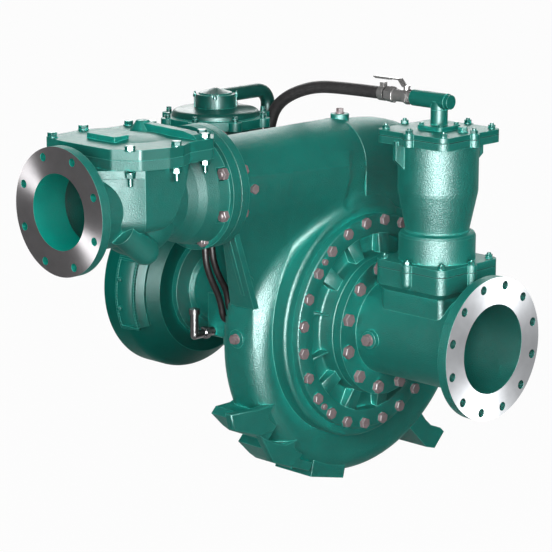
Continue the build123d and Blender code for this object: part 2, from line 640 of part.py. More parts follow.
# Vacuum pump on its pedestal beside the nozzle
under_z = VAC_Z - VAC_BODY_H
pedestal = box(VAC_X - 55, VAC_X + 55, COLUMN_Y + 15, 30, 60, 360)
pedestal += rod("Z", COLUMN_R, 300, under_z, VAC_X, COLUMN_Y)
pedestal += rod("Y", HOSE_BORE_R, COLUMN_Y, -46, PORT_X, PORT_Z)
parts["vacuum_pedestal"] = pedestal - bearing - rod("X", SHAFT_R, bx, vb)
body_plan = RegularPolygon(VAC_BODY_R, 8)
parts["vacuum_pump_body"] = extrude(Pos(VAC_X, VAC_Y, under_z) * body_plan, VAC_BODY_H)
head = rod("Z", VAC_HEAD_R, VAC_Z, VAC_HEAD_Z, VAC_X, VAC_Y)
for lobe in ring_of("Z", VAC_LOBES, VAC_HEAD_R, 20, VAC_Z, VAC_HEAD_Z, VAC_X, VAC_Y, 22.5):
    head += lobe
parts["vacuum_pump_head"] = head
dome = Plane.XZ * FilletPolyline((130, VAC_HEAD_Z), (124, VAC_DRUM_Z - 6), (64, VAC_DRUM_Z), radius=14)
dome_base = Polyline([(64, 0, VAC_DRUM_Z), (0, 0, VAC_DRUM_Z), (0, 0, VAC_HEAD_Z), (130, 0, VAC_HEAD_Z)])
parts["vacuum_pump_dome"] = Pos(VAC_X, VAC_Y, 0) * revolve(make_face(dome + dome_base), Axis.Z)
parts["vacuum_pump_drum"] = rod("Z", VAC_DRUM_R, VAC_DRUM_Z, VAC_CAP_Z, VAC_X, VAC_Y)
cap = turned_z([
    (0, VAC_CAP_Z), (VAC_DRUM_R - 8, VAC_CAP_Z), (VAC_DRUM_R - 10, VAC_CAP_Z + 4),
    (6, VAC_CAP_Z + 17), (0, VAC_CAP_Z + 17),
], VAC_X, VAC_Y)
parts["vacuum_pump_cap"] = cap
exhaust_y = VAC_Y + EXHAUST_REACH
exhaust_path = FilletPolyline(
    (VAC_X, VAC_Y, EXHAUST_Z), (VAC_X, exhaust_y, EXHAUST_Z), (VAC_X, exhaust_y, VAC_Z + 12),
    radius=EXHAUST_BEND,
)
exhaust_start = Plane(origin=exhaust_path @ 0, z_dir=exhaust_path % 0)
exhaust = sweep(exhaust_start * (Circle(EXHAUST_R) - Circle(EXHAUST_BORE_R)), path=exhaust_path)
parts["exhaust_elbow"] = exhaust - parts["vacuum_pump_drum"] - cap

# Vacuum hose from the tail to the vacuum pump inlet
hose_points = [
    (HOSE_END_X, 0, VENT_Z), (720, 0, VENT_Z), (605, 0, 661), (495, 0, 615), (447, 0, 555),
    (PORT_X, 0, PORT_Z), (PORT_X, -86, PORT_Z),
]
parts["vacuum_hose"] = tube_route(hose_points, HOSE_R, HOSE_BORE_R)

# Two oil hoses from the vacuum pump down to the sump, one behind the other
sump_y = -SUMP_HALF - HOSE_GAP
return_route = [(-224, under_z), (-224, 190), (-201, 110), (-156, 45), (-149, -25), (sump_y, -25)]
feed_route = [(-229, under_z), (-229, 175), (-215, 106), (-163, 15), (-152, -58), (sump_y, -58)]
for name, x, route in (("return", OIL_RETURN_X, return_route), ("feed", OIL_FEED_X, feed_route)):
    oil_points = [(x, y, z) for y, z in route]
    parts[f"oil_{name}_hose"] = tube_route(oil_points, OIL_HOSE_R, OIL_HOSE_BORE_R)

# Swing check valve on the discharge; plan outlines are given from the centre of its bowl
PLATE_PLAN = [
    (-177, -157), (-100, -173), (100, -173), (165, -126), (189, -45), (189, 5), (165, 48),
    (165, 135), (120, 179), (-120, 179), (-165, 135), (-165, 48), (-189, 5), (-189, -45),
]


def plate(z0, z1, inset):
    """Plate with the outline of the check valve cover."""
    outline = make_face(Polyline([(VOLUTE_X + x, CHECK_BOWL_Y + y, z0) for x, y in PLATE_PLAN], close=True))
    outline = fillet(outline.vertices(), PLATE_CORNER)
    return extrude(offset(outline, -inset) if inset else outline, z1 - z0, dir=(0, 0, 1))


def chest(z0, z1, front_half, hollow):
    """Upper body with flat sides, drawn in to the front flange and to the rear cone."""
    x = VOLUTE_X
    y = CHECK_BOWL_Y
    front = CHECK_FACE_Y + OUT_FLANGE_T
    side_front = (x + CHECK_SIDE, CHECK_SHOULDER_Y, z0)
    side_rear = (x + CHECK_SIDE, y + 25, z0)
    neck = (x + CHECK_NECK_R, y + 85, z0)
    nose = (x + front_half, front, z0)
    middle = ((nose[0] + side_front[0]) / 2 - hollow, (nose[1] + side_front[1]) / 2 + hollow, z0)
    right = ThreePointArc(nose, middle, side_front) + Line(side_front, side_rear)
    right += ThreePointArc(side_rear, (x + CHECK_SIDE - 14, y + 67, z0), neck)
    right += Line(neck, (x + CHECK_NECK_R, y + 145, z0))
    outline = right + mirror(right, Plane(origin=(x, 0, 0), z_dir=(1, 0, 0)))
    outline += Line((x - front_half, front, z0), nose)
    outline += Line((x - CHECK_NECK_R, y + 145, z0), (x + CHECK_NECK_R, y + 145, z0))
    return extrude(make_face(outline), z1 - z0, dir=(0, 0, 1))


def rear_hollow(top):
    """Tool that draws the back of the chest in towards the barrel as it goes down."""
    back = CHECK_REAR_Y
    high = (VOLUTE_X, CHECK_BOWL_Y + 50, top)
    low = (VOLUTE_X, CHECK_BOWL_Y - 65, CHEST_Z - DRAIN_R)
    curve = ThreePointArc(high, (VOLUTE_X, CHECK_BOWL_Y + 20, NOZZLE_Z + 23), low)
    rest = Polyline(low, (VOLUTE_X, back, low[2]), (VOLUTE_X, back, top), high)
    return extrude(make_face(curve + rest), 2 * CHECK_SIDE, both=True)


def check_body():
    """Straight barrel, bowl and chest under the bolted plate, with a sloping drain boss."""
    x = VOLUTE_X
    front = CHECK_FACE_Y + OUT_FLANGE_T
    rear = CHECK_REAR_Y - OUT_FLANGE_T
    under = PLATE_Z - PLATE_T
    inside = CHECK_NECK_R - CHECK_WALL
    bowl_z = NOZZLE_Z - CHECK_BOWL_DROP
    body = turned_y([
        (CHECK_FACE_Y, 0), (CHECK_FACE_Y, OUT_FLANGE_R), (front, OUT_FLANGE_R), (front, CHECK_NECK_R + 8),
        (front + 12, CHECK_NECK_R), (rear - 118, CHECK_NECK_R), (rear - 90, CHECK_NECK_R + 11),
        (rear - 68, CHECK_NECK_R + 23), (rear - 33, CHECK_NECK_R + 33), (rear, CHECK_NECK_R + 39),
        (rear, OUT_FLANGE_R), (CHECK_REAR_Y, OUT_FLANGE_R), (CHECK_REAR_Y, 0),
    ], x, NOZZLE_Z)
    body += Pos(x, CHECK_BOWL_Y, bowl_z) * Sphere(CHECK_BOWL_R)
    low_chest = chest(CHEST_Z, under, 60, 10)
    low_chest = fillet(low_chest.edges().group_by(Axis.Z)[0], DRAIN_R)
    body += low_chest - rear_hollow(under)
    body += chest(under - CHECK_RIM_H, under, 52, 2) - rear_hollow(under) + plate(under, PLATE_Z, 0)
    drain = Plane(origin=(x + DRAIN_X, CHECK_SHOULDER_Y - 26, DRAIN_Z), z_dir=(0, 0.787, -0.616))
    body += extrude(drain * Circle(DRAIN_R), DRAIN_LEN)
    body += drain.offset(DRAIN_LEN) * Sphere(DRAIN_R)
    plate_end = CHECK_BOWL_Y + PLATE_PLAN[8][1] + 2
    body -= box(x - OUT_FLANGE_R, x + OUT_FLANGE_R, front, plate_end, PLATE_Z, PLATE_Z + OUT_FLANGE_R)
    body -= rod("Y", OUT_BORE_R, CHECK_FACE_Y, CHECK_FACE_Y + CHECK_PORT_LEN, x, NOZZLE_Z)
    body -= rod("Y", inside, CHECK_FACE_Y + CHECK_PORT_LEN, CHECK_SEAT_Y, x, NOZZLE_Z)
    body -= Pos(x, CHECK_BOWL_Y, bowl_z) * Sphere(CHECK_BOWL_R - CHECK_WALL)
    body -= rod("Y", OUT_BORE_R - 4, CHECK_SEAT_Y, CHECK_REAR_Y, x, NOZZLE_Z)
    body -= plate(NOZZLE_Z, PLATE_Z, 70) & box(x - 200, x + 200, front, CHECK_BOWL_Y + 15, 0, PLATE_Z)
    for hole in ring_of("Y", OUT_HOLES, OUT_BC, OUT_HOLE_R, CHECK_FACE_Y, front, x, NOZZLE_Z, 22.5):
        body -= hole
    for hole in ring_of("Y", OUT_HOLES, OUT_BC, STUD_HOLE_R, rear, CHECK_REAR_Y, x, NOZZLE_Z, 22.5):
        body -= hole
    for spot in ring_of("Y", OUT_HOLES, OUT_BC, SPOT_R, rear - SPOT_DEPTH, rear, x, NOZZLE_Z, 22.5):
        body -= spot
    return body


def check_lid():
    """Bolted lid with a low dome, a raised block and the hinge boss with its tapered arm."""
    x = VOLUTE_X
    lid = plate(PLATE_Z, LID_Z, 0)
    cap_r = (LID_DOME_R**2 + LID_DOME_H**2) / (2 * LID_DOME_H)
    dome = Pos(x, CHECK_BOWL_Y, LID_Z + LID_DOME_H - cap_r) * Sphere(cap_r)
    lid += dome & rod("Z", LID_DOME_R, LID_Z - 4, LID_Z + LID_DOME_H + 1, x, CHECK_BOWL_Y)
    lid += box(x - 77, x + 32, CHECK_SHOULDER_Y + 13, CHECK_SHOULDER_Y + 63, LID_Z, LID_Z + 15)
    lid += cone("Z", 36, 17, LID_Z, LID_Z + HINGE_H, HINGE_X, HINGE_Y)
    lid += Pos(0, HINGE_Y, 0) * prism([
        (HINGE_X, 0, LID_Z), (x + 160, 0, LID_Z), (x + 143, 0, LID_Z + 12), (x + 105, 0, LID_Z + 19),
        (HINGE_X, 0, LID_Z + 24),
    ], 26)
    return lid


parts["check_valve_body"] = check_body()
parts["check_valve_cover"] = check_lid()
clapper_y = CHECK_SEAT_Y - SEAT_GAP
parts["check_clapper"] = rod("Y", OUT_BORE_R + 6, clapper_y - CLAPPER_T, clapper_y, VOLUTE_X, NOZZLE_Z)
gasket = rod("Y", OUT_FLANGE_R - GASKET_EDGE, CHECK_REAR_Y, NOZZLE_FACE_Y, VOLUTE_X, NOZZLE_Z)
parts["discharge_gasket"] = gasket - rod("Y", OUT_BORE_R, CHECK_REAR_Y, NOZZLE_FACE_Y, VOLUTE_X, NOZZLE_Z)

for name, solid in parts.items():
    count = len(solid.solids())
    if count != 1:
        print("solids", name, count)
    export_step(solid, f"parts/{name}.step")
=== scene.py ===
import bmesh
import bpy
import json
import math
import numpy as np
from mathutils import Matrix, Vector

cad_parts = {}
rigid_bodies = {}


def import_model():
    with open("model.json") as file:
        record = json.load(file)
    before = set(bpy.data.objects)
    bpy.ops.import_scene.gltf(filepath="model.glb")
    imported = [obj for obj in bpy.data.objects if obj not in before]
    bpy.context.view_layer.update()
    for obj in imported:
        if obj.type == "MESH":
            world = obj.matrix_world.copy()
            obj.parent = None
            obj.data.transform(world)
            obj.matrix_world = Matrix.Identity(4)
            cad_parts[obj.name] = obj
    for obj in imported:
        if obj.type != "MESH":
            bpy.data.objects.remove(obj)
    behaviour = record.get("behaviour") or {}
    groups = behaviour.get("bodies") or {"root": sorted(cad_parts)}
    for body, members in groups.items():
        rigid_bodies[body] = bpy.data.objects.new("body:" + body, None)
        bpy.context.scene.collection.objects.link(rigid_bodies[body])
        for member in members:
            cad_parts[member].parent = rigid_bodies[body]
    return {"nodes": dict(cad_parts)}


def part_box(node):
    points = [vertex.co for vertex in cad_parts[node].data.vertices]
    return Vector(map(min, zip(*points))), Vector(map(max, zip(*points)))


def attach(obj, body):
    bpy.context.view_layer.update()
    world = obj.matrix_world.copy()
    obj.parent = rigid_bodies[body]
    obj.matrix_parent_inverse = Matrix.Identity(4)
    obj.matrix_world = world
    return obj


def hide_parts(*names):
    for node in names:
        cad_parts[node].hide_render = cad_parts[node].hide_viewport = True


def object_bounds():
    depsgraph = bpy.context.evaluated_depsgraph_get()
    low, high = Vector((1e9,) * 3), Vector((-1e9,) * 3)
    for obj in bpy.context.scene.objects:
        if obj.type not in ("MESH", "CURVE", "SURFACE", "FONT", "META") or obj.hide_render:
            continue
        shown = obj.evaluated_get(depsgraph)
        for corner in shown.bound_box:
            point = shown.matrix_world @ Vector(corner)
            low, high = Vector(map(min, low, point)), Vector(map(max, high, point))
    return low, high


for leftover in list(bpy.data.objects):
    bpy.data.objects.remove(leftover)
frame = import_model()
cad_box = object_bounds()
BODY = "pump"

# Measures that the part was drawn with, in metres
SUCTION_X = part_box("suction_spool")[1].x
SPOOL_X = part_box("suction_spool")[0].x
SPOOL_FLANGE_T = 0.0302
COVER_X1 = SPOOL_X - 0.027
COVER_X0 = COVER_X1 - 0.025
VOLUTE_X = COVER_X0 - 0.133
CHAMBER_X = (SPOOL_X + SUCTION_X) / 2
CHECK_FACE_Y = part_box("check_valve_body")[0].y
CHECK_REAR_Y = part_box("check_valve_body")[1].y
OUT_FLANGE_T = 0.0286
NOZZLE_Y = CHECK_REAR_Y + 0.003
NOZZLE_Z = 0.455
LID_Z0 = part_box("check_valve_cover")[0].z
LID_Z1 = LID_Z0 + 0.028
VENT_Z = 0.673
COVER_BC = 0.3006
SPOOL_BC = 0.181
OUT_BC = 0.1492


# Shader helpers
def new_material(name):
    """Empty node material with a Principled shader; returns material, nodes, links, shader."""
    material = bpy.data.materials.new(name)
    material.use_nodes = True
    tree = material.node_tree
    return material, tree.nodes, tree.links, tree.nodes["Principled BSDF"]


def noise(nodes, links, scale, detail=4.0, rough=0.55, warp=0.0):
    """Noise over the object's own coordinates."""
    coords = nodes.new("ShaderNodeTexCoord")
    texture = nodes.new("ShaderNodeTexNoise")
    texture.inputs["Scale"].default_value = scale
    texture.inputs["Detail"].default_value = detail
    texture.inputs["Roughness"].default_value = rough
    texture.inputs["Distortion"].default_value = warp
    links.new(coords.outputs["Object"], texture.inputs["Vector"])
    return texture.outputs["Fac"]


def ramp(nodes, links, source, low, high, dark, light):
    """Two-colour ramp of a value."""
    ramp_node = nodes.new("ShaderNodeValToRGB")
    ramp_node.color_ramp.elements[0].position = low
    ramp_node.color_ramp.elements[1].position = high
    ramp_node.color_ramp.elements[0].color = (*dark, 1)
    ramp_node.color_ramp.elements[1].color = (*light, 1)
    links.new(source, ramp_node.inputs["Fac"])
    return ramp_node.outputs["Color"]


def bump(nodes, links, height, strength, distance, normal=None):
    """Bump node, stacked on another normal when one is given."""
    node = nodes.new("ShaderNodeBump")
    node.inputs["Strength"].default_value = strength
    node.inputs["Distance"].default_value = distance
    links.new(height, node.inputs["Height"])
    if normal is not None:
        links.new(normal, node.inputs["Normal"])
    return node.outputs["Normal"]


def rounded(nodes, radius, samples=6):
    """Softened edges, as cast or broken corners have."""
    node = nodes.new("ShaderNodeBevel")
    node.inputs["Radius"].default_value = radius
    node.samples = samples
    return node.outputs["Normal"]


# Pale green of the highlight painted along edges and corners
EDGE_HIGHLIGHT_GREEN = (0.06, 0.42, 0.35, 1)


def painted_edge_highlight(nodes, links, colour, normal):
    """Colour that pales where the softened normal leaves the true one: a painted highlight along every edge
    and corner.
    """
    geometry = nodes.new("ShaderNodeNewGeometry")
    dot = nodes.new("ShaderNodeVectorMath")
    dot.operation = "DOT_PRODUCT"
    links.new(normal, dot.inputs[0])
    links.new(geometry.outputs["Normal"], dot.inputs[1])
    share = nodes.new("ShaderNodeMapRange")
    for field, value in (("From Min", 0.93), ("From Max", 0.995), ("To Min", 0.8), ("To Max", 0.0)):
        share.inputs[field].default_value = value
    links.new(dot.outputs["Value"], share.inputs["Value"])
    mix = nodes.new("ShaderNodeMix")
    mix.data_type = "RGBA"
    mix.inputs["B"].default_value = EDGE_HIGHLIGHT_GREEN
    links.new(share.outputs["Result"], mix.inputs["Factor"])
    links.new(colour, mix.inputs["A"])
    return mix.outputs["Result"]


GRAIN_SCALE = 300
GRAIN_DEPTH = 0.0019
PAINT_SHEEN = (0.75, 1.0, 0.98, 1)


def painted(name, dark, light, edge, grain, rough, specular=0.034):
    """Paint over cast iron: broken corners, sand-cast grain, a slow waviness and a painted highlight along
    the edges.

    The roughness is a pair, from its glossiest patches to its dullest.
    """
    material, nodes, links, shader = new_material(name)
    colour = ramp(nodes, links, noise(nodes, links, 7, 3), 0.35, 0.7, dark, light)
    gloss = ramp(nodes, links, noise(nodes, links, 40, 5), 0.3, 0.75, (rough[0],) * 3, (rough[1],) * 3)
    links.new(gloss, shader.inputs["Roughness"])
    normal = rounded(nodes, edge)
    # Base colour with a painted highlight that pales it along the edges
    links.new(painted_edge_highlight(nodes, links, colour, normal), shader.inputs["Base Color"])
    normal = bump(nodes, links, noise(nodes, links, 11, 2), 0.35, 0.004, normal)
    normal = bump(nodes, links, noise(nodes, links, GRAIN_SCALE, 2, 0.6), grain, GRAIN_DEPTH, normal)
    links.new(normal, shader.inputs["Normal"])
    shader.inputs["Specular IOR Level"].default_value = specular
    shader.inputs["Specular Tint"].default_value = PAINT_SHEEN
    return material


METAL_EDGE = 0.0006


def metal(name, colour, rough, metallic=0.0, specular=0.5):
    """Dulled metal, gasket sheet or enamel with fine wear and softened edges."""
    material, nodes, links, shader = new_material(name)
    dark = tuple(c * 0.82 for c in colour)
    tint = ramp(nodes, links, noise(nodes, links, 90, 4), 0.35, 0.7, dark, colour)
    links.new(tint, shader.inputs["Base Color"])
    patches = noise(nodes, links, 160, 4)
    gloss = ramp(nodes, links, patches, 0.3, 0.7, (rough * 0.8,) * 3, (rough * 1.2,) * 3)
    links.new(gloss, shader.inputs["Roughness"])
    normal = bump(nodes, links, noise(nodes, links, 900, 3), 0.15, 0.0003, rounded(nodes, METAL_EDGE, 4))
    links.new(normal, shader.inputs["Normal"])
    shader.inputs["Metallic"].default_value = metallic
    shader.inputs["Specular IOR Level"].default_value = specular
    return material


def turned_face(name, axis, centre, colour, rough, anisotropy, lay=0.0, metallic=1.0):
    """Faced flange: tool marks about an axis through a centre, a share of a turn off true rings."""
    material, nodes, links, shader = new_material(name)
    coords = nodes.new("ShaderNodeTexCoord")
    place = nodes.new("ShaderNodeMapping")
    place.inputs["Location"].default_value = tuple(-c for c in centre)
    links.new(coords.outputs["Object"], place.inputs["Vector"])
    rings = nodes.new("ShaderNodeTexWave")
    rings.wave_type = "RINGS"
    rings.rings_direction = axis
    rings.inputs["Scale"].default_value = 210.0
    rings.inputs["Distortion"].default_value = 0.4
    links.new(place.outputs["Vector"], rings.inputs["Vector"])
    dark = tuple(c * 0.86 for c in colour)
    tint = ramp(nodes, links, noise(nodes, links, 30, 5), 0.3, 0.75, dark, colour)
    links.new(tint, shader.inputs["Base Color"])
    tangent = nodes.new("ShaderNodeTangent")
    tangent.direction_type = "RADIAL"
    tangent.axis = axis
    links.new(tangent.outputs["Tangent"], shader.inputs["Tangent"])
    links.new(bump(nodes, links, rings.outputs["Fac"], 0.12, 0.0002), shader.inputs["Normal"])
    shader.inputs["Metallic"].default_value = metallic
    shader.inputs["Specular IOR Level"].default_value = 0.0
    shader.inputs["Roughness"].default_value = rough
    shader.inputs["Anisotropic"].default_value = anisotropy
    shader.inputs["Anisotropic Rotation"].default_value = lay
    return material


def rubber(name, dark, light, rough):
    """Wrapped rubber hose: woven cover under a dull skin."""
    material, nodes, links, shader = new_material(name)
    tint = ramp(nodes, links, noise(nodes, links, 60, 4), 0.35, 0.7, dark, light)
    links.new(tint, shader.inputs["Base Color"])
    normal = bump(nodes, links, noise(nodes, links, 700, 2, 0.6, 0.3), 0.35, 0.0005)
    normal = bump(nodes, links, noise(nodes, links, 45, 3), 0.3, 0.001, normal)
    links.new(normal, shader.inputs["Normal"])
    shader.inputs["Roughness"].default_value = rough
    shader.inputs["Specular IOR Level"].default_value = 0.03
    return material


# Materials; each green is given by its darkest and its lightest patches
CAST_GREEN = ((0.0008, 0.142, 0.113), (0.0014, 0.165, 0.132))
LID_GREEN = ((0.0008, 0.13, 0.102), (0.0014, 0.148, 0.117))
BOLT_GREEN = ((0.001, 0.10, 0.08), (0.0014, 0.12, 0.095))
# Bell green is the pump's green made darker: painted shade on the bell housing
BELL_SHADED_GREEN = ((0.0006, 0.098, 0.077), (0.001, 0.115, 0.09))
DARK_GREEN = ((0.001, 0.05, 0.04), (0.0015, 0.075, 0.058))
# Bore green is the pump's green made far lighter: painted light inside the bores and on the clapper
BORE_LIT_GREEN = ((0.0008, 0.38, 0.3), (0.001, 0.43, 0.34))
PAINT = painted("pump_green", *CAST_GREEN, edge=0.0025, grain=0.75, rough=(0.38, 0.46))
SMOOTH_PAINT = painted("lid_green", *LID_GREEN, edge=0.0025, grain=0.3, rough=(0.38, 0.46), specular=0.024)
CHECK_PAINT = painted("check_green", *CAST_GREEN, edge=0.0025, grain=0.5, rough=(0.46, 0.56), specular=0.02)
GLOSS_PAINT = painted("gloss_green", *BOLT_GREEN, edge=0.0008, grain=0.1, rough=(0.28, 0.34), specular=0.045)
SHADED_BELL_PAINT = painted("bell_shaded_green", *BELL_SHADED_GREEN, edge=0.003, grain=0.4, rough=(0.36, 0.44), specular=0.011)
DARK_PAINT = painted("dark_green", *DARK_GREEN, edge=0.002, grain=0.2, rough=(0.3, 0.4))
LIT_BORE_PAINT = painted("bore_lit_green", *BORE_LIT_GREEN, edge=0.0025, grain=0.3, rough=(0.5, 0.6), specular=0.006)
BOLT = metal("plated_bolt", (0.15, 0.098, 0.104), 0.6, specular=0.05)
STAINLESS = metal("stainless", (0.115, 0.113, 0.111), 0.34, metallic=0.08, specular=0.09)
SHEET = metal("gasket_sheet", (0.0004, 0.008, 0.006), 0.8, specular=0.01)
GLOSS_BLACK = metal("gloss_black", (0.013, 0.014, 0.015), 0.18)
HOSE_RUBBER = rubber("hose_rubber", (0.012, 0.011, 0.012), (0.024, 0.022, 0.023), 0.5)
OIL_RUBBER = rubber("oil_hose_rubber", (0.012, 0.008, 0.008), (0.026, 0.015, 0.016), 0.42)
SUCTION_AXIS = (SUCTION_X, 0, 0)
DISCHARGE_AXIS = (VOLUTE_X, CHECK_FACE_Y, NOZZLE_Z)
SUCTION_FACE = turned_face("suction_face", "X", SUCTION_AXIS, (0.107, 0.11, 0.114), 0.46, 0.5)
OUT_FACE = turned_face(
    "discharge_face", "Y", DISCHARGE_AXIS, (0.087, 0.084, 0.086), 0.38, 0.9, lay=0.378, metallic=0.2
)


# Materials on the part's own solids
FINISHES = (
    (SMOOTH_PAINT, (
        "check_valve_cover", "chamber_cover", "vent_riser", "vent_tee", "tee_plug", "window_cover",
        "vacuum_pump_head",
    )),
    (DARK_PAINT, (
        "vacuum_pump_dome", "vacuum_pump_drum", "vacuum_pump_cap", "exhaust_elbow", "vacuum_pump_body",
    )),
    (STAINLESS, ("ball_valve_body", "valve_lever", "nipple", "hose_tail", "hose_clamp")),
    (BOLT, ("drive_shaft", "spool_plug", "nozzle_plug", "volute_side_plug", "volute_top_plug")),
    (SHEET, ("chamber_base_gasket", "chamber_cover_gasket", "discharge_gasket")),
    # Bell housing in the darker green, a painted shade
    (SHADED_BELL_PAINT, ("bell_housing",)),
    (CHECK_PAINT, ("check_valve_body",)),
    # Clapper in the lighter bore green, painted light
    (LIT_BORE_PAINT, ("check_clapper",)),
    (GLOSS_BLACK, ("oil_elbow", "oil_filler_cap")),
)


def dress(node, material):
    """Give a solid one material."""
    materials = frame["nodes"][node].data.materials
    materials.clear()
    materials.append(material)


def further_finish(node, material, chosen):
    """Another finish on the faces of a solid that a test picks out."""
    mesh = frame["nodes"][node].data
    mesh.materials.append(material)
    slot = len(mesh.materials) - 1
    for polygon in mesh.polygons:
        if chosen(polygon):
            polygon.material_index = slot


def face_finish(node, material, axis, level):
    """Finish on the flat machined face at a level along an axis."""
    def chosen(polygon):
        return abs(polygon.center[axis] - level) < 2e-4 and abs(polygon.normal[axis]) > 0.9

    further_finish(node, material, chosen)


def bore_finish(node, material, axis, centre, radius, end):
    """Finish on the bores within a radius of an axis and before an end plane."""
    def chosen(polygon):
        offset = polygon.center - Vector(centre)
        offset[axis] = 0
        beside = abs(polygon.normal[axis]) < 0.5
        return beside and offset.length < radius and polygon.center[axis] < end

    further_finish(node, material, chosen)


for node in frame["nodes"]:
    dress(node, PAINT)
for finish, nodes in FINISHES:
    for node in nodes:
        dress(node, finish)
OUT_BORE_REACH = 0.108
OUT_HOLE_REACH = 0.163
face_finish("suction_spool", SUCTION_FACE, 0, SUCTION_X)
face_finish("check_valve_body", OUT_FACE, 1, CHECK_FACE_Y)
# Bores of the check valve in the lighter green, painted light where the bore lies in shade
bore_finish("check_valve_body", LIT_BORE_PAINT, 1, DISCHARGE_AXIS, OUT_BORE_REACH, CHECK_REAR_Y)
bore_finish("check_valve_body", LIT_BORE_PAINT, 1, DISCHARGE_AXIS, OUT_HOLE_REACH, CHECK_FACE_Y + OUT_FLANGE_T)


# Mesh pieces, and the record's slot names for some finishes
SLOTS = {"plated_bolt": "bare_steel", "stainless": "bare_steel", "gloss_black": "black_fitting"}


def finish_piece(name, bm, material, body=BODY, smooth=40.0, chamfer=0.0):
    """Turn a bmesh into a piece that rides on a body, its edges broken by a chamfer."""
    if chamfer:
        bmesh.ops.recalc_face_normals(bm, faces=bm.faces)
        sharp = [edge for edge in bm.edges if edge.is_manifold and edge.calc_face_angle() > 0.5]
        bmesh.ops.bevel(bm, geom=sharp, offset=chamfer, segments=1, affect="EDGES")
    bmesh.ops.recalc_face_normals(bm, faces=bm.faces)
    mesh = bpy.data.meshes.new(name)
    bm.to_mesh(mesh)
    bm.free()
    obj = bpy.data.objects.new(name, mesh)
    bpy.context.scene.collection.objects.link(obj)
    mesh.materials.append(material)
    for polygon in mesh.polygons:
        polygon.use_smooth = True
    mesh.set_sharp_from_angle(angle=math.radians(smooth))
    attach(obj, body)
    SLOTS.get(material.name, "green_paint")
    return obj


def along(direction, origin, spin=0.0):
    """Matrix that turns local +Z to a direction and moves it to an origin."""
    turn = Vector(direction).to_track_quat("Z", "Y").to_matrix().to_4x4()
    return Matrix.Translation(origin) @ turn @ Matrix.Rotation(spin, 4, "Z")


def bridge(bm, low, high):
    """Band of faces between two closed loops with as many corners."""
    count = len(low)
    for k in range(count):
        bm.faces.new((low[k], low[(k + 1) % count], high[(k + 1) % count], high[k]))


def add_stack(bm, layers):
    """Closed solid through layers of points, with a flat face on the first and the last."""
    loops = [[bm.verts.new(point) for point in layer] for layer in layers]
    for low, high in zip(loops, loops[1:]):
        bridge(bm, low, high)
    bm.faces.new(loops[0][::-1])
    bm.faces.new(loops[-1])


def add_lathe(bm, profile, matrix, steps=24):
    """Closed solid of revolution from points given as radius, height."""
    turns = [2 * math.pi * k / steps for k in range(steps)]
    add_stack(bm, [
        [matrix @ Vector((radius * math.cos(turn), radius * math.sin(turn), z)) for turn in turns]
        for radius, z in profile
    ])


def add_hex(bm, across, height, matrix, base=0.0):
    """Hexagon head or nut with a narrow chamfer round its top."""
    corner = across / 2 / math.cos(math.pi / 6)
    chamfer = across * 0.05
    profile = [(corner, base), (corner, base + height - chamfer), (corner - chamfer, base + height)]
    add_lathe(bm, profile, matrix, 6)


def add_bolt(bm, place, across, height, washer=0.0, stud=0.0):
    """Head on its washer, or a nut with the end of its stud standing out."""
    if washer:
        add_lathe(bm, [(across * 0.62, 0), (across * 0.62, washer), (across * 0.5, washer)], place)
    add_hex(bm, across, height, place, washer)
    if stud:
        radius = across * 0.31
        top = washer + height + stud
        add_lathe(bm, [(radius, 0), (radius, top - radius * 0.25), (radius * 0.75, top)], place, 18)


def ring_places(axis, count, radius, centre, start=0.0):
    """Points evenly round an axis through a centre; the angle counts from the next axis."""
    first, second = {"X": (1, 2), "Y": (0, 2), "Z": (0, 1)}[axis]
    for i in range(count):
        angle = math.radians(start + 360.0 * i / count)
        point = list(centre)
        point[first] += radius * math.cos(angle)
        point[second] += radius * math.sin(angle)
        yield Vector(point), angle


def polar(x, radius, degrees):
    """Point at a radius and angle about the shaft; the angle counts from +Y."""
    turn = math.radians(degrees)
    return Vector((x, radius * math.cos(turn), radius * math.sin(turn)))


def square(half):
    """Four corners of a square about the origin."""
    return [(sx * half, sy * half) for sx in (-1, 1) for sy in (-1, 1)]


# Suction cover casting: deep recess round the hub, bridged by short lugs and thin ribs
RECESS_FLOOR = COVER_X1 - 0.022
COVER_R = 0.317
COVER_BACK_R = 0.284
FACE_IN_R = 0.261
HUB_R = 0.204
HUB_BORE_R = 0.127
COVER_PROFILE = [
    (COVER_R, COVER_X0), (COVER_R, COVER_X1 - 0.003), (COVER_R - 0.001, COVER_X1 - 0.001),
    (COVER_R - 0.003, COVER_X1),
    (FACE_IN_R + 0.003, COVER_X1), (FACE_IN_R + 0.001, COVER_X1 - 0.001), (FACE_IN_R, COVER_X1 - 0.003),
    (FACE_IN_R - 0.003, RECESS_FLOOR + 0.002), (FACE_IN_R - 0.005, RECESS_FLOOR),
    (HUB_R + 0.0085, RECESS_FLOOR), (HUB_R + 0.0055, RECESS_FLOOR + 0.001),
    (HUB_R + 0.0035, RECESS_FLOOR + 0.003), (HUB_R + 0.0025, RECESS_FLOOR + 0.006),
    (HUB_R, SPOOL_X - 0.0002), (HUB_BORE_R, SPOOL_X - 0.0002), (HUB_BORE_R, COVER_X0 - 0.09),
    (HUB_R - 0.004, COVER_X0 - 0.075), (COVER_BACK_R, COVER_X0 - 0.03), (COVER_BACK_R, COVER_X0),
]
COVER_STEPS = 144
LUG_ANGLES = (80.5, 109.5, 138.5, 219, 248.5, 279.5)
LUG_HALF = 5.2
RIB_ANGLES = (164.5, 194.5)
RIB_HALF = 0.8
BRIDGE_ROOT = 0.004
BRIDGE_RISE = 0.009


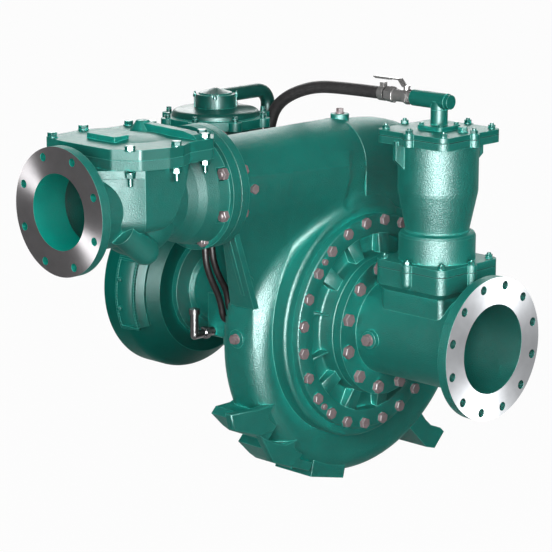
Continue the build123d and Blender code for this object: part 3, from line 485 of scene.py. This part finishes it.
def add_bridge(bm, angle, half, root, drop):
    """Lug or rib across the recess: it stands proud at the hub and falls below the face outside."""
    near, far = HUB_R + root, FACE_IN_R + 0.002
    sides = ((near, -half), (far, -half), (far, half), (near, half))
    low = [polar(RECESS_FLOOR - BRIDGE_ROOT, radius, angle + turn) for radius, turn in sides]
    levels = (BRIDGE_RISE, -drop, -drop, BRIDGE_RISE)
    high = [polar(COVER_X1 + level, radius, angle + turn) for level, (radius, turn) in zip(levels, sides)]
    add_stack(bm, [low, high])


def cover_casting():
    bm = bmesh.new()
    rings = []
    for radius, x in COVER_PROFILE:
        turns = (360 * k / COVER_STEPS for k in range(COVER_STEPS))
        rings.append([bm.verts.new(polar(x, radius, turn)) for turn in turns])
    for low, high in zip(rings, rings[1:] + rings[:1]):
        bridge(bm, low, high)
    for angle in LUG_ANGLES:
        add_bridge(bm, angle, LUG_HALF, 0.001, 0.002)
    for angle in RIB_ANGLES:
        add_bridge(bm, angle, RIB_HALF, 0.003, 0.001)
    piece = finish_piece("suction_cover_casting", bm, PAINT, chamfer=0.0012)
    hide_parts("suction_cover")


cover_casting()


# Throat of the volute: the nozzle, the spiral, the ring and the buttress run into each other.
# Stations of the spiral: angle about the shaft, outer radius, half width, corner radius.
SPIRAL = [
    (112, 0.352, 0.080, 0.054), (132, 0.362, 0.082, 0.055), (150, 0.375, 0.084, 0.055),
    (180, 0.400, 0.084, 0.056), (210, 0.425, 0.084, 0.057), (240, 0.451, 0.084, 0.057),
    (360, 0.552, 0.085, 0.062),
]
NOZZLE_R = 0.125
RING_R = 0.345
RING_ROUND = 0.010
THROAT_BLEND = 0.100
WEB_BLEND = 0.036

# Buttress beside the nozzle: y, z and x of the low and the high end of its front edge
WEB_LOW = (-0.398, 0.090, 0.743)
WEB_HIGH = (-0.5214, 0.330, 0.790)
WEB_BACK_X = 0.677
WEB_DEPTH = 0.190

# Wall behind the buttress: a point of its side, and how far that side moves out with y and with z
WALL_X, WALL_Y, WALL_Z = 0.745, -0.375, 0.165
WALL_WITH_Y = 0.10
WALL_WITH_Z = 0.23
WALL_SET_BACK = 0.024
WALL_BACK_Y = -0.12
WALL_LOW_Z = -0.05

# Grid of rays that lays the skin on the casting from the suction side
RAY_WAY = (-0.70, 0.69, -0.18)
RAY_CENTRE = (VOLUTE_X + 0.09, -0.27, 0.27)
RAY_SPAN_ACROSS = (-0.34, 0.42)
RAY_SPAN_UP = (-0.30, 0.26)
RAY_STEP = 0.0035
RAY_BACK = 0.6
RAY_REACH = 1.1
TRACE_STEPS = 90
SKIN_Y = (CHECK_REAR_Y + 0.0325, 0.12)
SKIN_MIN = 0.0002
SKIN_SINK = 0.0004


def box_distance(dx, dy, corner):
    """Distance to a rounded quarter of a box, from the offsets to its two straight sides."""
    out = np.hypot(np.maximum(dx + corner, 0), np.maximum(dy + corner, 0))
    return out + np.minimum(np.maximum(dx, dy) + corner, 0) - corner


def soft_union(a, b, width):
    """Union of two distances with a fillet."""
    share = np.clip(0.5 + 0.5 * (b - a) / width, 0, 1)
    return b + (a - b) * share - width * share * (1 - share)


def throat_distances(p):
    """Distances of points to the nozzle, the spiral with its ring, the buttress and the wall behind it."""
    x, y, z = p[..., 0], p[..., 1], p[..., 2]
    nozzle = np.hypot(x - VOLUTE_X, z - NOZZLE_Z) - NOZZLE_R
    radius = np.hypot(y, z)
    angle = np.degrees(np.arctan2(z, y)) % 360
    stations = [row[0] for row in SPIRAL]
    outer, half, corner = (np.interp(angle, stations, [row[k] for row in SPIRAL]) for k in (1, 2, 3))
    spiral = box_distance(np.abs(x - VOLUTE_X) - half, radius - outer, corner)
    ring = box_distance(x - COVER_X0, radius - RING_R, RING_ROUND)
    share = np.clip((z - WEB_LOW[1]) / (WEB_HIGH[1] - WEB_LOW[1]), 0, 1.2)
    front = WEB_LOW[0] + (WEB_HIGH[0] - WEB_LOW[0]) * share
    side = WEB_LOW[2] + (WEB_HIGH[2] - WEB_LOW[2]) * share
    web = np.maximum(np.maximum(x - side, front - y), np.maximum(WEB_LOW[1] - z, WEB_BACK_X - x))
    web = np.maximum(web, y - front - WEB_DEPTH)
    wall_side = WALL_X + WALL_WITH_Z * (z - WALL_Z) + WALL_WITH_Y * (y - WALL_Y)
    wall = x - np.maximum(side + 0.001, wall_side)
    wall = np.maximum(np.maximum(wall, front + WALL_SET_BACK - y), np.maximum(WALL_LOW_Z - z, WEB_BACK_X - x))
    wall = np.maximum(wall, np.maximum(y - WALL_BACK_Y, z - NOZZLE_Z))
    return nozzle, np.minimum(spiral, ring), web, wall


def plain_throat(p):
    """Distance to the shapes as the solids have them, in plain corners."""
    nozzle, body, web, _ = throat_distances(p)
    return np.minimum(nozzle, np.minimum(body, web))


def filleted_throat(p):
    """Distance to the shapes with the wall added and their corners filled."""
    nozzle, body, web, wall = throat_distances(p)
    shoulder = soft_union(body, wall, WEB_BLEND)
    return np.minimum(web, soft_union(nozzle, shoulder, THROAT_BLEND))


def throat_rays():
    """Starts of the rays as a grid, and their direction."""
    way = np.array(RAY_WAY)
    way /= np.linalg.norm(way)
    across = np.cross(way, (0, 0, 1))
    across /= np.linalg.norm(across)
    up = np.cross(across, way)
    spans = np.arange(*RAY_SPAN_ACROSS, RAY_STEP), np.arange(*RAY_SPAN_UP, RAY_STEP)
    s, t = np.meshgrid(*spans, indexing="ij")
    starts = np.array(RAY_CENTRE) + s[..., None] * across + t[..., None] * up - way * RAY_BACK
    return starts, way


def trace(starts, way, distance):
    """How far each ray travels until it meets a surface."""
    travel = np.zeros(starts.shape[:-1])
    for _ in range(TRACE_STEPS):
        travel = travel + np.clip(distance(starts + travel[..., None] * way), -0.02, 0.05) * 0.8
    return travel


def add_skin(bm, points, known, proud):
    """Faces of a grid whose corners are all known and of which one or more stands proud."""
    verts = {}
    rows, columns = proud.shape
    for i in range(rows - 1):
        for k in range(columns - 1):
            cell = ((i, k), (i + 1, k), (i + 1, k + 1), (i, k + 1))
            if all(known[c] for c in cell) and any(proud[c] for c in cell):
                for c in cell:
                    if c not in verts:
                        verts[c] = bm.verts.new(points[c])
                bm.faces.new([verts[c] for c in cell])


def throat_casting():
    """Skin over the places where the fillets stand proud of the plain shapes, its border sunk in them."""
    starts, way = throat_rays()
    soft = trace(starts, way, filleted_throat)
    hard = trace(starts, way, plain_throat)
    y = (starts + soft[..., None] * way)[..., 1]
    proud = (hard - soft > SKIN_MIN) & (soft < RAY_REACH) & (y > SKIN_Y[0]) & (y < SKIN_Y[1])
    known = proud.copy()
    for axis in (0, 1):
        for shift in (-1, 1):
            known |= np.roll(proud, shift, axis)
    travel = np.where(proud, soft, np.minimum(hard, soft + 0.3) + SKIN_SINK)
    bm = bmesh.new()
    add_skin(bm, starts + travel[..., None] * way, known, proud)
    finish_piece("throat_casting", bm, PAINT, smooth=180.0)


throat_casting()


# Raised rim along the front edge of the buttress, as y and z; its face leans out with z
RIM_LINE = [(-0.514, 0.314), (-0.484, 0.322), (-0.411, 0.193), (-0.390, 0.176), (-0.419, 0.129)]
RIM_LEAN = 0.196
RIM_LAYERS = (-0.012, 0.008)


def buttress_rim():
    bm = bmesh.new()
    face = [(WEB_LOW[2] + RIM_LEAN * (z - WEB_LOW[1]), y, z) for y, z in RIM_LINE]
    add_stack(bm, [[(x + proud, y, z) for x, y, z in face] for proud in RIM_LAYERS])
    finish_piece("buttress_rim", bm, PAINT, chamfer=0.0035)


buttress_rim()


# Stepped pads on the front of the two side feet: their x, and their outlines as y and z
FOOT_FRONT = (0.765, 0.791)
FOOT_PADS = (
    [
        (-0.396, -0.197), (-0.331, -0.195), (-0.359, -0.223), (-0.355, -0.238), (-0.326, -0.261),
        (-0.341, -0.273), (-0.391, -0.277), (-0.497, -0.239), (-0.510, -0.190),
    ],
    [
        (-0.391, -0.277), (-0.365, -0.294), (-0.318, -0.317), (-0.286, -0.326), (-0.239, -0.320),
        (-0.253, -0.339), (-0.247, -0.351), (-0.217, -0.369), (-0.231, -0.384), (-0.172, -0.408),
        (-0.192, -0.429), (-0.341, -0.368),
    ],
)


def foot_pads():
    bm = bmesh.new()
    for outline in FOOT_PADS:
        add_stack(bm, [[(x, y, z) for y, z in outline] for x in FOOT_FRONT])
    finish_piece("foot_pads", bm, PAINT, chamfer=0.0025)


foot_pads()


# Fasteners of the volute cover, the spool and the nozzle
COVER_BOLTS = 24
COVER_AF = 0.0286
JACK_ANGLES = (135, 225)
JACK_R = 0.3
JACK_AF = 0.016
SPOOL_BOLTS = 12
SPOOL_AF = 0.0333
OUT_BOLTS = 8
OUT_AF = 0.03


def cover_bolts():
    bm = bmesh.new()
    for point, angle in ring_places("X", COVER_BOLTS, COVER_BC, (COVER_X1, 0, 0), 7.5):
        add_bolt(bm, along((1, 0, 0), point, angle * 7), COVER_AF, 0.012)
    finish_piece("cover_bolts", bm, BOLT)


def cover_jack_screws():
    bm = bmesh.new()
    for angle in JACK_ANGLES:
        add_bolt(bm, along((1, 0, 0), polar(COVER_X1, JACK_R, angle)), JACK_AF, 0.01)
    finish_piece("cover_jack_screws", bm, BOLT)


def spool_bolts():
    bm = bmesh.new()
    for point, angle in ring_places("X", SPOOL_BOLTS, SPOOL_BC, (SPOOL_X + SPOOL_FLANGE_T, 0, 0), 15):
        add_bolt(bm, along((1, 0, 0), point, angle * 5), SPOOL_AF, 0.014)
    finish_piece("spool_bolts", bm, BOLT)


def nozzle_bolts():
    """Studs through the joint of the check valve and the nozzle, with a nut at each end."""
    bm = bmesh.new()
    front = CHECK_REAR_Y - OUT_FLANGE_T
    back = NOZZLE_Y + OUT_FLANGE_T
    for point, angle in ring_places("Y", OUT_BOLTS, OUT_BC, DISCHARGE_AXIS, 22.5):
        add_bolt(bm, along((0, -1, 0), (point.x, front, point.z), angle * 3), OUT_AF, 0.016, stud=0.004)
        add_bolt(bm, along((0, 1, 0), (point.x, back, point.z), angle * 3), OUT_AF, 0.016, stud=0.006)
    finish_piece("nozzle_bolts", bm, BOLT)


cover_bolts()
cover_jack_screws()
spool_bolts()
nozzle_bolts()

# Fasteners of the check valve lid, the vent chamber and the vent riser.
# The lid's bolts are given by their x from the middle of the valve, and their y.
LID_BOLTS = [
    (-0.153, -0.937), (0.153, -0.937), (-0.183, -0.802), (0.183, -0.802), (-0.15, -0.667), (0.15, -0.667),
    (-0.098, -0.628), (0.098, -0.628),
]
LID_PLATE_Z = LID_Z0 - 0.027
LID_AF = 0.024
CHAMBER_CORNER = 0.104
CHAMBER_LUG = 0.126
CHAMBER_AF = 0.019
VENT_CORNER = 0.034
VENT_AF = 0.013


def lid_bolts():
    bm = bmesh.new()
    for dx, y in LID_BOLTS:
        x = VOLUTE_X + dx
        add_bolt(bm, along((0, 0, 1), (x, y, LID_Z1), dx * 40), LID_AF, 0.011, 0.003)
        add_bolt(bm, along((0, 0, -1), (x, y, LID_PLATE_Z), dx * 30), LID_AF, 0.013, 0.003, 0.022)
    finish_piece("lid_bolts", bm, GLOSS_PAINT)


def chamber_bolts():
    """Bolts through the square flanges of the vent chamber, at corners and lugs."""
    lid_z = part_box("chamber_cover")[1].z
    base_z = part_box("chamber_base_gasket")[1].z + 0.02
    lugs = [(CHAMBER_LUG, 0), (-CHAMBER_LUG, 0), (0, CHAMBER_LUG), (0, -CHAMBER_LUG)]
    bm = bmesh.new()
    for dx, dy in square(CHAMBER_CORNER) + lugs:
        x = CHAMBER_X + dx
        add_bolt(bm, along((0, 0, 1), (x, dy, lid_z), dx * 20), CHAMBER_AF, 0.009, 0.002, 0.005)
        add_bolt(bm, along((0, 0, 1), (x, dy, base_z), dy * 20), CHAMBER_AF, 0.009, 0.002, 0.005)
    finish_piece("chamber_bolts", bm, GLOSS_PAINT)


def vent_bolts():
    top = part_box("chamber_cover")[1].z + 0.012
    bm = bmesh.new()
    for dx, dy in square(VENT_CORNER):
        add_bolt(bm, along((0, 0, 1), (CHAMBER_X + dx, dy, top)), VENT_AF, 0.007)
    finish_piece("vent_bolts", bm, GLOSS_PAINT)


lid_bolts()
chamber_bolts()
vent_bolts()


# Tie rods and wing nuts of the vacuum pump, and the bolts of its head
VAC_X = 0.400
VAC_Y = -0.182
VAC_HEAD_Z = 0.577
TIE_RADIUS = 0.0605
TIE_ANGLES = (44, 134, 224, 314)
HEAD_RADIUS = 0.150
HEAD_BOLTS = 8
HEAD_AF = 0.013
WING_T = 0.0015
WING_LINES = (((0.003, 0.049), (0.011, 0.056)), ((0.003, 0.056), (0.010, 0.063)))


def add_wing_nut(bm, place):
    """Round nut with two wings; each wing lies between two sloping lines given as radius, height."""
    add_lathe(bm, [(0, 0.048), (0.006, 0.048), (0.005, 0.057), (0, 0.057)], place, 12)
    for side in (-1, 1):
        layers = []
        for (root, root_z), (tip, tip_z) in WING_LINES:
            corners = (
                (-WING_T, root * side, root_z), (WING_T, root * side, root_z),
                (WING_T, tip * side, tip_z), (-WING_T, tip * side, tip_z),
            )
            layers.append([place @ Vector(corner) for corner in corners])
        add_stack(bm, layers)


def vacuum_pump_rods():
    bm = bmesh.new()
    for angle in TIE_ANGLES:
        turn = math.radians(angle)
        foot = (VAC_X + TIE_RADIUS * math.cos(turn), VAC_Y + TIE_RADIUS * math.sin(turn), VAC_HEAD_Z + 0.006)
        place = Matrix.Translation(foot) @ Matrix.Rotation(turn, 4, "Z")
        add_lathe(bm, [(0, 0), (0.003, 0), (0.003, 0.062), (0.002, 0.064), (0, 0.064)], place, 12)
        add_wing_nut(bm, place)
    for point, _ in ring_places("Z", HEAD_BOLTS, HEAD_RADIUS, (VAC_X, VAC_Y, VAC_HEAD_Z), 22.5):
        add_bolt(bm, Matrix.Translation(point), HEAD_AF, 0.007, washer=0.009)
    finish_piece("vacuum_pump_rods", bm, DARK_PAINT)


vacuum_pump_rods()


# Grip of the ball valve lever: a dipped sleeve of oval section, ribbed along its length
GRIP_LENGTH = 0.0615
GRIP_HALF_Y = 0.0065
GRIP_HALF_Z = 0.0035
GRIP_END = 0.003
GRIP_RIBS = 9
GRIP_STATIONS = GRIP_RIBS * 6
GRIP_SIDES = 24


def grip_swell(share):
    """Size of the grip's section at a share of its length: ribs, and ends that round off."""
    swell = 0.96 - 0.04 * math.cos(2 * math.pi * GRIP_RIBS * share)
    end = min(share, 1 - share) * GRIP_LENGTH / GRIP_END
    if end < 1:
        swell *= 0.55 + 0.45 * math.sqrt(1 - (1 - end) ** 2)
    return swell


def oval(value):
    """Sine or cosine drawn out towards the corners of a box."""
    return math.copysign(abs(value) ** 0.6, value)


def lever_grip():
    low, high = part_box("valve_lever")
    start = Vector((low.x + 0.0005, (low.y + high.y) / 2, high.z - 0.004))
    layers = []
    for i in range(GRIP_STATIONS + 1):
        share = i / GRIP_STATIONS
        swell = grip_swell(share)
        layer = []
        for k in range(GRIP_SIDES):
            turn = 2 * math.pi * k / GRIP_SIDES
            y = oval(math.cos(turn)) * GRIP_HALF_Y * swell
            z = oval(math.sin(turn)) * GRIP_HALF_Z * swell
            layer.append(start + Vector((share * GRIP_LENGTH, y, z)))
        layers.append(layer)
    bm = bmesh.new()
    add_stack(bm, layers)
    finish_piece("lever_grip", bm, STAINLESS, body="lever")


lever_grip()


# Raised border and clips of the window cover on the bell
WINDOW_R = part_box("bell_housing")[1].z + 0.008
WINDOW_LAYERS = (WINDOW_R - 0.006, WINDOW_R + 0.002)
WINDOW_NEAR = 0.062
WINDOW_FAR = 0.144
WINDOW_BAR = 0.007
WINDOW_HALF = 22.5
WINDOW_MIDDLE = 180
WINDOW_STEPS = 24
CLIP_TURNS = (-9, 9)


def add_bar(bm, x0, x1, start, end, steps):
    """Raised bar on the round of the bell, between two x and two angles."""
    for k in range(steps):
        a, b = (start + (end - start) * step / steps for step in (k, k + 1))
        sides = ((x0, a), (x1, a), (x1, b), (x0, b))
        add_stack(bm, [[polar(x, radius, turn) for x, turn in sides] for radius in WINDOW_LAYERS])


def window_border():
    bm = bmesh.new()
    first = WINDOW_MIDDLE - WINDOW_HALF
    last = WINDOW_MIDDLE + WINDOW_HALF
    width = WINDOW_HALF * 0.06
    add_bar(bm, WINDOW_NEAR, WINDOW_NEAR + WINDOW_BAR, first, last, WINDOW_STEPS)
    add_bar(bm, WINDOW_FAR - WINDOW_BAR, WINDOW_FAR, first, last, WINDOW_STEPS)
    add_bar(bm, WINDOW_NEAR, WINDOW_FAR, first, first + width, 1)
    add_bar(bm, WINDOW_NEAR, WINDOW_FAR, last - width, last, 1)
    for turn in CLIP_TURNS:
        angle = WINDOW_MIDDLE + turn
        at = polar(WINDOW_NEAR + 0.018, WINDOW_R - 0.002, angle)
        add_bolt(bm, along(polar(0, 1, angle), at), 0.012, 0.006, washer=0.009)
    finish_piece("window_border", bm, SMOOTH_PAINT)


window_border()


# Hoses
def hose(name, points, radius, material, node):
    """Smooth hose on the route of its solid."""
    curve = bpy.data.curves.new(name, "CURVE")
    curve.dimensions = "3D"
    curve.bevel_depth = radius
    curve.bevel_resolution = 10
    curve.resolution_u = 24
    curve.use_fill_caps = True
    line = curve.splines.new("NURBS")
    line.points.add(len(points) - 1)
    for point, place in zip(line.points, points):
        point.co = (*place, 1)
    line.order_u = 3
    line.use_endpoint_u = True
    obj = bpy.data.objects.new(name, curve)
    bpy.context.scene.collection.objects.link(obj)
    curve.materials.append(material)
    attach(obj, BODY)
    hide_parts(node)


HOSE_END_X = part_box("hose_tail")[0].x + 0.032
PORT_X = 0.428
PORT_Z = 0.430
OIL_TOP_Z = 0.491
RETURN_X = 0.418
FEED_X = 0.397
SUMP_Y = -0.1123
VACUUM_ROUTE = [
    (HOSE_END_X, 0, VENT_Z), (0.720, 0, VENT_Z), (0.605, 0, 0.661), (0.495, 0, 0.615), (0.447, 0, 0.555),
    (PORT_X, 0, PORT_Z), (PORT_X, -0.086, PORT_Z),
]
RETURN_ROUTE = [
    (RETURN_X, -0.224, OIL_TOP_Z), (RETURN_X, -0.224, 0.190), (RETURN_X, -0.201, 0.110),
    (RETURN_X, -0.156, 0.045), (RETURN_X, -0.149, -0.025), (RETURN_X, SUMP_Y, -0.025),
]
FEED_ROUTE = [
    (FEED_X, -0.229, OIL_TOP_Z), (FEED_X, -0.229, 0.175), (FEED_X, -0.215, 0.106),
    (FEED_X, -0.163, 0.015), (FEED_X, -0.152, -0.058), (FEED_X, SUMP_Y, -0.058),
]
hose("vacuum_line", VACUUM_ROUTE, 0.018, HOSE_RUBBER, "vacuum_hose")
hose("oil_return_line", RETURN_ROUTE, 0.010, OIL_RUBBER, "oil_return_hose")
hose("oil_feed_line", FEED_ROUTE, 0.010, OIL_RUBBER, "oil_feed_hose")


# Floor, world, lights and camera
def background_rays(nodes, links):
    """One for camera, glossy and transmission rays, nought for diffuse ones."""
    path = nodes.new("ShaderNodeLightPath")
    total = path.outputs["Is Camera Ray"]
    for ray in ("Is Glossy Ray", "Is Transmission Ray"):
        add = nodes.new("ShaderNodeMath")
        add.operation = "ADD"
        add.use_clamp = True
        links.new(total, add.inputs[0])
        links.new(path.outputs[ray], add.inputs[1])
        total = add.outputs["Value"]
    return total


FLOOR_SIZE = 60.0
FLOOR_COLOUR = 0.3
FLOOR_GLOW = 0.97
FLOOR_GAP = 0.001
WORLD_FILL = 0.43


def studio_floor(level):
    """Pale floor that keeps a faint shadow."""
    bpy.ops.mesh.primitive_plane_add(size=FLOOR_SIZE, location=(0, 0, level))
    floor = bpy.context.object
    floor.name = "studio_floor"
    material, nodes, links, shader = new_material("floor_white")
    shader.inputs["Base Color"].default_value = (FLOOR_COLOUR, FLOOR_COLOUR, FLOOR_COLOUR, 1)
    shader.inputs["Roughness"].default_value = 0.9
    shader.inputs["Specular IOR Level"].default_value = 0.0
    glow = nodes.new("ShaderNodeEmission")
    mix = nodes.new("ShaderNodeMixShader")
    share = nodes.new("ShaderNodeMath")
    share.operation = "MULTIPLY"
    share.inputs[1].default_value = FLOOR_GLOW
    links.new(background_rays(nodes, links), share.inputs[0])
    links.new(share.outputs["Value"], mix.inputs[0])
    links.new(shader.outputs[0], mix.inputs[1])
    links.new(glow.outputs[0], mix.inputs[2])
    links.new(mix.outputs[0], nodes["Material Output"].inputs[0])
    floor.data.materials.append(material)


def studio_world(fill):
    """Even fill light; the camera, metal and glass see white."""
    world = bpy.data.worlds.new("studio")
    bpy.context.scene.world = world
    world.use_nodes = True
    nodes = world.node_tree.nodes
    links = world.node_tree.links
    mix = nodes.new("ShaderNodeMix")
    mix.inputs["A"].default_value = fill
    mix.inputs["B"].default_value = 1.0
    links.new(background_rays(nodes, links), mix.inputs["Factor"])
    links.new(mix.outputs["Result"], nodes["Background"].inputs["Strength"])
    nodes["Background"].inputs["Color"].default_value = (1, 1, 1, 1)


AIM = Vector((0.75, -0.25, 0.15))


def softbox(name, azimuth, distance, height, size, radiance, shine):
    """Area light at a height, turned to the part; azimuth counts from +X towards +Y.

    With shine it is a strip for highlights alone, and without it the soft light on the paint.
    """
    light = bpy.data.lights.new(name, "AREA")
    light.shape = "RECTANGLE"
    light.size, light.size_y = size
    light.energy = radiance * math.pi * size[0] * size[1]
    turn = math.radians(azimuth)
    away = Vector((math.cos(turn) * distance, math.sin(turn) * distance, height - AIM.z))
    lamp = bpy.data.objects.new(name, light)
    bpy.context.scene.collection.objects.link(lamp)
    lamp.location = AIM + away
    lamp.rotation_euler = (-away).to_track_quat("-Z", "Y").to_euler()
    lamp.visible_camera = False
    lamp.visible_diffuse = not shine
    lamp.visible_glossy = shine


CAMERA_PLACE = Vector((5.1239, -4.7842, 1.6278))
CAMERA_LOOK = Vector((-0.679, 0.698, -0.227))
CAMERA_LENS = 148.0


def camera():
    data = bpy.data.cameras.new("camera")
    data.lens = CAMERA_LENS
    data.sensor_width = 36.0
    obj = bpy.data.objects.new("camera", data)
    bpy.context.scene.collection.objects.link(obj)
    obj.location = CAMERA_PLACE
    obj.rotation_euler = CAMERA_LOOK.to_track_quat("-Z", "Y").to_euler()
    bpy.context.scene.camera = obj


# Name, azimuth, distance, height, size, radiance and whether it is for highlights alone
SOFTBOXES = (
    ("soft_left", -78, 5.0, 1.5, (2.5, 2.0), 8.0, False),
    ("soft_right", -12, 5.0, 1.5, (2.5, 2.0), 7.0, False),
    ("soft_top", -60, 0.8, 5.0, (3.0, 3.0), 1.0, False),
    ("shine_front", -45, 4.0, 0.8, (1.0, 2.4), 3400, True),
    ("shine_back", 135, 5.0, 2.4, (4.0, 1.8), 12, True),
)

studio_floor(cad_box[0][2] - FLOOR_GAP)
studio_world(WORLD_FILL)
for row in SOFTBOXES:
    softbox(*row)
camera()
bpy.context.scene.view_settings.view_transform = "Standard"
